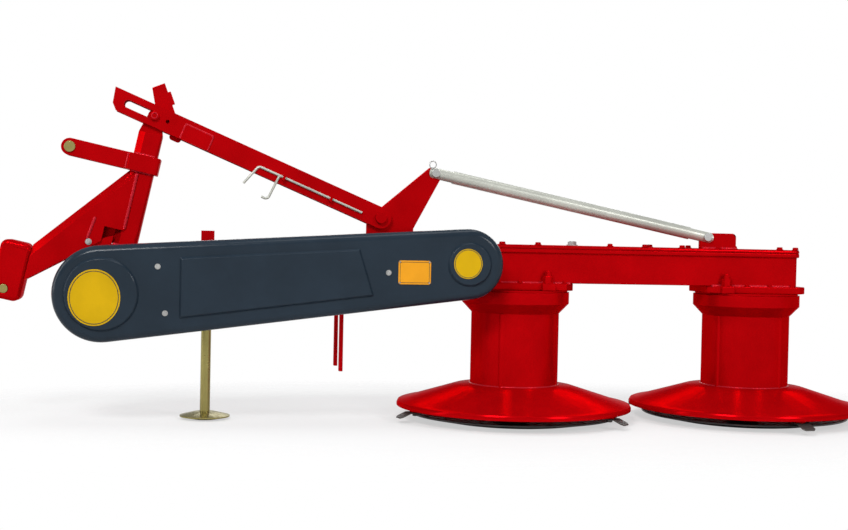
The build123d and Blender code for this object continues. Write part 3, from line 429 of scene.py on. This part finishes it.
# Guard screws, and the bearing cap's bolts round the splined stub
GUARD_SCREWS = ((-1.164, 0.494), (-1.140, 0.353), (-0.461, 0.487))
CAP_BOLT_RADIUS = 0.039
CAP_BOLTS = 6
FIRST_CAP_BOLT = 0.3
screw_places = [(x, GUARD_FLAT, z) for x, z in GUARD_SCREWS]
bolts("guard_screws", "mower", "bright_steel", screw_places, NEAR, flats=0.012)
cap_places = ring_places((PIVOT_X, PIVOT_Z), CAP_BOLT_RADIUS, CAP_BOLTS, FIRST_CAP_BOLT)
bolts("cap_bolts", "mower", "bright_steel", [(x, CAP_FACE, z) for x, z in cap_places], FAR, flats=0.01)


# Headstock points are given in its leaning frame: along and up from the pivot, then across
HEAD_LEAN = radians(12.1)


def head(x, z, y):
    along = x * cos(HEAD_LEAN) + z * sin(HEAD_LEAN)
    rise = z * cos(HEAD_LEAN) - x * sin(HEAD_LEAN)
    return Vector((PIVOT_X + along, y, PIVOT_Z + rise))


ARM_BOLT = (-0.088, 0.14, -0.045)
bolts("arm_bolt", "headstock", "bright_steel", [head(*ARM_BOLT)], NEAR, flats=0.014)

# A small gusset in the corner between the arm's notch and the pivot lugs
GUSSET = ((-0.118, 0.082), (-0.0185, 0.082), (-0.0185, 0.176), (-0.049, 0.160), (-0.100, 0.112))
GUSSET_NEAR_Y = -0.037
GUSSET_FAR_Y = -0.030
bm = bmesh.new()
near = [bm.verts.new(head(x, z, GUSSET_NEAR_Y)) for x, z in GUSSET]
rear = [bm.verts.new(head(x, z, GUSSET_FAR_Y)) for x, z in GUSSET]
bm.faces.new(near)
bm.faces.new(rear)
for i in range(len(GUSSET)):
    k = (i + 1) % len(GUSSET)
    bm.faces.new((near[i], near[k], rear[k], rear[i]))
bmesh.ops.recalc_face_normals(bm, faces=bm.faces)
piece("notch_gusset", bm, "headstock", "red_paint")

# Wire rings: on the lift pin, and the linch pin's ring at the bracket
RING_STEPS = 28
WIRE_SIDES = 8
WIRE_RADIUS = 0.0018


def ring(name, body, slot_name, centre, axis, radius, finish=None):
    """A closed wire ring."""
    bm = bmesh.new()
    place = Matrix.Translation(Vector(centre)) @ towards(axis)
    rows = []
    for i in range(RING_STEPS):
        a = 2 * pi * i / RING_STEPS
        row = []
        for j in range(WIRE_SIDES):
            b = 2 * pi * j / WIRE_SIDES
            out = radius + WIRE_RADIUS * cos(b)
            row.append(bm.verts.new(place @ Vector((out * cos(a), out * sin(a), WIRE_RADIUS * sin(b)))))
        rows.append(row)
    for i in range(RING_STEPS):
        k = (i + 1) % RING_STEPS
        for j in range(WIRE_SIDES):
            m = (j + 1) % WIRE_SIDES
            bm.faces.new((rows[i][j], rows[k][j], rows[k][m], rows[i][m]))
    return piece(name, bm, body, slot_name, finish=finish, smooth=True)


LIFT_PIN_END = (0.02, 0.575, -0.0412)
LINCH_AT = (-0.292, -0.024, 0.838)
LINCH_AXIS = (0.15, -1, 0)
# The lift pin's ring takes the beads' paler pink red, a painted highlight
ring("lift_pin_ring", "headstock", "red_paint", head(*LIFT_PIN_END), NEAR, radius=0.0088, finish="red_bead_painted_highlight")
ring("linch_ring", "mower", "bright_steel", LINCH_AT, LINCH_AXIS, radius=0.0115)


# Weld beads

BEAD_SIDES = 8
BEAD_STEP = 0.003
BEAD_RADIUS = 0.0055
RIPPLE = 0.22
RIPPLE_RATE = 0.85
RIPPLE_NOISE = 0.06


def bead(bm, points, radius, seed):
    """A tube along points, with the ripple of a weld."""
    corners = [Vector(p) for p in points]
    path = []
    for a, b in zip(corners, corners[1:]):
        count = max(2, int((b - a).length / BEAD_STEP))
        path += [a.lerp(b, i / count) for i in range(count)]
    path.append(corners[-1])
    rng = random.Random(seed)
    turns = [2 * pi * j / BEAD_SIDES for j in range(BEAD_SIDES)]
    rows = []
    side = None
    for i, at in enumerate(path):
        ahead_dir = (path[min(i + 1, len(path) - 1)] - path[max(i - 1, 0)]).normalized()
        if side is None:
            side = ahead_dir.orthogonal().normalized()
        side = (side - ahead_dir * side.dot(ahead_dir)).normalized()
        other = ahead_dir.cross(side)
        wave = RIPPLE * abs(sin(i * RIPPLE_RATE)) + rng.uniform(-RIPPLE_NOISE, RIPPLE_NOISE)
        size = radius * (1 - RIPPLE + wave)
        rows.append([bm.verts.new(at + (side * cos(a) + other * sin(a)) * size) for a in turns])
    for a, b in zip(rows, rows[1:]):
        for j in range(BEAD_SIDES):
            k = (j + 1) % BEAD_SIDES
            bm.faces.new((a[j], b[j], b[k], a[k]))
    bm.faces.new(rows[0][::-1])
    bm.faces.new(rows[-1])


# By default the beads take the paler pink red, a painted highlight
def welds(name, body, runs, radius=BEAD_RADIUS, finish="red_bead_painted_highlight"):
    bm = bmesh.new()
    for i, points in enumerate(runs):
        bead(bm, points, radius, seed=i + 1)
    return piece(name, bm, body, "red_paint", finish=finish, smooth=True)


def both(*points):
    """The run at the near side, then the run as it is given, at the far side."""
    return [[(x, z, -y) for x, z, y in points], list(points)]


# Headstock runs, as points along, up and across: down the mast beside the arm, at the arm's notch, along the
# strap's floor and top, above the pivot lugs, and up the strap beside the mast
STRAP_FLOOR = 0.391
STRAP_TOP = 0.445
headstock_runs = both((0.009, 0.384, 0.04185), (0.009, 0.205, 0.04185))
headstock_runs.append([(-0.085, 0.221, -0.045), (-0.094, 0.150, -0.045)])
for z in (STRAP_FLOOR, STRAP_TOP):
    headstock_runs.append([(-0.012, z, -0.034), (0.006, z, -0.039), (0.05, z, -0.038)])
headstock_runs += both((-0.015, 0.15, 0.038), (0.055, 0.15, 0.038))
headstock_runs += both((-0.03, 0.394, 0.035), (-0.03, 0.442, 0.035))
welds("headstock_welds", "headstock", [[head(*point) for point in run] for run in headstock_runs])

# A heavier bead in the corner between mast, arm and strap
corner_runs = both((-0.020, 0.356, 0.033), (-0.010, 0.374, 0.033), (-0.004, 0.389, 0.033))
corner_runs = [[head(*point) for point in run] for run in corner_runs]
welds("corner_welds", "headstock", corner_runs, radius=0.008, finish="red_paint")

# Lift bar points are given along the bar from its lower pin, then up and across
BAR_COS = 0.9216
BAR_SIN = 0.3882


def bar(x, z, y):
    return Vector((BAR_X + BAR_COS * x + BAR_SIN * z, y, BAR_Z - BAR_SIN * x + BAR_COS * z))


# Runs up the left end, along the top and down the right end of the bar's doubling plate
DOUBLER_LEFT = -0.6905
DOUBLER_RIGHT = -0.5975
DOUBLER_FLOOR = -0.032
DOUBLER_TOP = 0.0165
DOUBLER_Y = -0.031
top_left = bar(DOUBLER_LEFT, DOUBLER_TOP, DOUBLER_Y)
top_right = bar(DOUBLER_RIGHT, DOUBLER_TOP, DOUBLER_Y)
bar_runs = [
    [bar(DOUBLER_LEFT, DOUBLER_FLOOR, DOUBLER_Y), top_left, top_right],
    [top_right, bar(DOUBLER_RIGHT, DOUBLER_FLOOR, DOUBLER_Y)],
]
welds("bar_welds", "lift_bar", bar_runs, radius=0.0045)

# Mower runs, as the half width across and the two ends in X and Z: flanges, tie lug, stand sleeve and bracket
FLANGE_RUN = 0.162
FLANGE_RUN_END = 0.94
mower_lines = [
    (0.0955, (x - FLANGE_RUN, FLANGE_TOP), (min(x + FLANGE_RUN, FLANGE_RUN_END), FLANGE_TOP))
    for x in DRUM_X.values()
]
mower_lines += [
    (0.0125, (0.642, COVER_TOP), (0.762, COVER_TOP)),
    (0.022, (-1.037, 0.488), (-0.997, 0.492)),
    (0.033, (-0.3125, 0.462), (-0.3125, 0.55)),
]
mower_runs = [
    [(x, y, z) for x, z in ends]
    for half, *ends in mower_lines
    for y in (-half, half)
]
welds("mower_welds", "mower", mower_runs)

# A bead round each column, where it meets the skirt
COLUMN_BEAD_RADIUS = 0.1465
COLUMN_BEAD_Z = 0.1185
COLUMN_BEAD_STEPS = 60
for side, axis_x in DRUM_X.items():
    loop = ring_places((axis_x, 0.0), COLUMN_BEAD_RADIUS, COLUMN_BEAD_STEPS, 0.0)
    loop = [(x, y, COLUMN_BEAD_Z) for x, y in loop + loop[:1]]
    welds(f"drum_welds_{side}", f"drum_{side}", [loop], radius=0.0035)


# Blank signs on the guard, each with a dark line round it

SIGN_SINK = 0.0004
SIGN_DEPTH = 0.001
LINE_DEPTH = 0.0014
SIGN_STEPS = 72
CORNER_STEPS = 6


def ellipse(half_x, half_z):
    return [(half_x * x, half_z * z) for x, z in ring_places((0.0, 0.0), 1.0, SIGN_STEPS, 0.0)]


def round_rectangle(half_x, half_z, corner):
    """A rectangle with a quarter turn at each corner."""
    outline = []
    for quarter, (sx, sz) in enumerate(((1, 1), (-1, 1), (-1, -1), (1, -1))):
        for i in range(CORNER_STEPS + 1):
            a = pi / 2 * (quarter + i / CORNER_STEPS)
            x = sx * (half_x - corner) + corner * cos(a)
            z = sz * (half_z - corner) + corner * sin(a)
            outline.append((x, z))
    return outline


def plate(name, centre, half_x, half_z, depth, finish, corner=None, face=SIGN_FACE, band=0.0):
    """A thin sign plate on the guard, round or with round corners. With a band's width it is open inside."""
    bm = bmesh.new()
    outline = round_rectangle(half_x, half_z, corner) if corner else ellipse(half_x, half_z)

    def loop_at(scale_x, scale_z, y):
        return [bm.verts.new((centre[0] + x * scale_x, y, centre[1] + z * scale_z)) for x, z in outline]

    def wall(first, second):
        for i in range(len(outline)):
            k = (i + 1) % len(outline)
            bm.faces.new((first[i], first[k], second[k], second[i]))

    back = loop_at(1, 1, face + SIGN_SINK)
    front = loop_at(1, 1, face - depth)
    if band:
        inner = (1 - band / half_x, 1 - band / half_z)
        inner_front = loop_at(*inner, face - depth)
        wall(front, inner_front)
        wall(inner_front, loop_at(*inner, face + SIGN_SINK))
    else:
        bm.faces.new(front)
    wall(back, front)
    bmesh.ops.recalc_face_normals(bm, faces=bm.faces)
    return piece(name, bm, "mower", "slate_paint", finish=finish)


# Round signs. Columns: centre, half width and height, the line's inset and its width
ROUND_SIGNS = {
    "speed_sign": ((-1.349, 0.398), (0.077, 0.085), 0.0045, 0.0022),
    "small_sign": ((-0.212, 0.519), (0.045, 0.047), 0.0025, 0.0018),
}
for name, (centre, half, inset, width) in ROUND_SIGNS.items():
    plate(name, centre, *half, SIGN_DEPTH, "sign_yellow")
    plate(f"{name}_line", centre, *(size - inset for size in half), LINE_DEPTH, "ink", band=width)

# The orange plate sits on the flat of the guard, with a rivet at each corner of its line
PLATE_AT = (-0.3795, 0.489)
PLATE_HALF = (0.051, 0.037)
PLATE_DEPTH = 0.0016
PLATE_LINE = (0.0465, 0.0325)
PLATE_LINE_DEPTH = 0.0019
PLATE_LINE_WIDTH = 0.0013
plate("orange_plate", PLATE_AT, *PLATE_HALF, PLATE_DEPTH, "sign_orange", corner=0.007, face=GUARD_FLAT)
plate(
    "orange_plate_line", PLATE_AT, *PLATE_LINE, PLATE_LINE_DEPTH, "ink", corner=0.005, face=GUARD_FLAT,
    band=PLATE_LINE_WIDTH,
)
RIVET_Y = GUARD_FLAT - 0.0014
RIVET_RADIUS = 0.0032
RIVET_HEIGHT = 0.0022
RIVET_SIDES = 14
RIVET_TOP = 0.6
bm = bmesh.new()
for sx in (-1, 1):
    for sz in (-1, 1):
        at = (PLATE_AT[0] + sx * PLATE_LINE[0], RIVET_Y, PLATE_AT[1] + sz * PLATE_LINE[1])
        prism(bm, at, NEAR, RIVET_RADIUS, RIVET_HEIGHT, RIVET_SIDES, top=RIVET_TOP)
piece("plate_rivets", bm, "mower", "bright_steel")


# Lamps. Columns: name, place, aim, size and watts

MIDDLE = (-0.3, 0.0, 0.4)
HEADSTOCK_MIDDLE = (-1.2, 0.0, 0.7)
LAMPS = (
    ("key", (-2.2, -3.6, 3.4), MIDDLE, (1.3, 1.0), 128),
    ("fill", (2.6, -4.0, 2.6), MIDDLE, (1.2, 1.2), 76),
    ("top", (0.1, -0.3, 4.0), MIDDLE, (3.8, 0.7), 34),
    ("back", (0.9, 3.8, 1.95), MIDDLE, (4.6, 0.5), 30),
    ("left", (-4.3, -0.2, 1.7), HEADSTOCK_MIDDLE, (1.0, 2.6), 38),
)


def lamp(name, at, aim, size, power):
    data = bpy.data.lights.new(name, "AREA")
    data.shape = "RECTANGLE"
    data.size, data.size_y = size
    data.energy = power
    made = bpy.data.objects.new(name, data)
    scene.collection.objects.link(made)
    made.location = at
    made.rotation_euler = (Vector(aim) - Vector(at)).to_track_quat("-Z", "Y").to_euler()
    return made


lights = [lamp(*row) for row in LAMPS]


# Floor: pale, with the shadow near the mower, and clear further out

FLOOR_HALF = 30.0
FLOOR_TONES = ((0.86, 0.86, 0.86), (0.9, 0.9, 0.9))
FLOOR_SCALE = 2.0
FLOOR_DETAIL = 3.0
FLOOR_ROUGHNESS = 0.9
POOL_SHIFT = (0.05, 0.0, 0.0)
POOL_SCALE = (0.42, 0.85, 1.0)
POOL_FADE = (0.55, 1.0)
WHITE_SHARE = 0.55


def floor_finish():
    """Part of the floor's tone is plain white to the camera, so that the shadow stays light."""
    made = Shader("floor")
    made.link(made.mix(made.noise(FLOOR_SCALE, FLOOR_DETAIL), *FLOOR_TONES), made.bsdf.inputs["Base Color"])
    made.bsdf.inputs["Roughness"].default_value = FLOOR_ROUGHNESS
    white = made.add("Emission", {"Strength": 1.0})
    camera_ray = made.add("LightPath").outputs["Is Camera Ray"]
    share = made.ramp(camera_ray, 0.0, 1.0, 0.0, WHITE_SHARE)
    pale = made.blend(share, made.bsdf.outputs["BSDF"], white.outputs["Emission"])
    distance = made.add("VectorMath")
    distance.operation = "LENGTH"
    made.link(made.mapped({"Location": POOL_SHIFT, "Scale": POOL_SCALE}), distance.inputs[0])
    fade = made.ramp(distance.outputs["Value"], *POOL_FADE)
    clear = made.add("BsdfTransparent")
    made.link(made.blend(fade, pale, clear.outputs["BSDF"]), made.out.inputs["Surface"])
    return made.material


bm = bmesh.new()
bmesh.ops.create_grid(bm, x_segments=1, y_segments=1, size=FLOOR_HALF)
floor_mesh = bpy.data.meshes.new("floor")
bm.to_mesh(floor_mesh)
bm.free()
floor = bpy.data.objects.new("floor", floor_mesh)
scene.collection.objects.link(floor)
floor_mesh.materials.append(floor_finish())


# World: white to the camera and through glass, white to shiny metal near the horizon, and a dome of light

WHITE = (1, 1, 1, 1)
DOME_COLOUR = (0.95, 0.97, 1.0, 1)
DOME_HEIGHTS = (0.05, 0.95)
DOME_STRENGTHS = (0.22, 0.42)
SHINE_BAND = (0.12, 0.22)

world = bpy.data.worlds.new("studio")
scene.world = world
world.use_nodes = True
sky = Graph(world.node_tree)
out = sky.add("OutputWorld")
rays = sky.add("LightPath").outputs
seen = sky.add("Background", {"Color": WHITE, "Strength": 1.0})
dome = sky.add("Background", {"Color": DOME_COLOUR})
climb = sky.height(sky.add("TexCoord").outputs["Generated"])
sky.link(sky.ramp(climb, *DOME_HEIGHTS, *DOME_STRENGTHS), dome.inputs["Strength"])
low = sky.ramp(climb, *SHINE_BAND, 1.0, 0.0)
shine = sky.math("MULTIPLY_ADD", rays["Is Glossy Ray"], low, rays["Is Camera Ray"])
shown = sky.math("MAXIMUM", shine, rays["Is Transmission Ray"])
sky.link(sky.blend(shown, dome.outputs[0], seen.outputs[0]), out.inputs["Surface"])


# Camera, fitted to the drums, the beam and the guard in the photo

CAMERA_AT = (-1.0, -4.349, 0.597)
YAW = radians(9.0)
PITCH = radians(1.16)
ROLL = radians(1.21)
SENSOR = 36.0
FOCAL_PIXELS = 1334
PHOTO_WIDTH = 848

ahead = Vector((sin(YAW) * cos(PITCH), cos(YAW) * cos(PITCH), -sin(PITCH)))
level = Vector((cos(YAW), -sin(YAW), 0))
above = level.cross(ahead)
across = cos(ROLL) * level + sin(ROLL) * above
upward = -sin(ROLL) * level + cos(ROLL) * above
camera_data = bpy.data.cameras.new("camera")
camera = bpy.data.objects.new("camera", camera_data)
scene.collection.objects.link(camera)
turn = Matrix((across, upward, -ahead)).transposed().to_4x4()
camera.matrix_world = Matrix.Translation(CAMERA_AT) @ turn
camera_data.sensor_fit = "HORIZONTAL"
camera_data.sensor_width = SENSOR
camera_data.lens = FOCAL_PIXELS / PHOTO_WIDTH * SENSOR
scene.camera = camera
scene.view_settings.view_transform = "Standard"
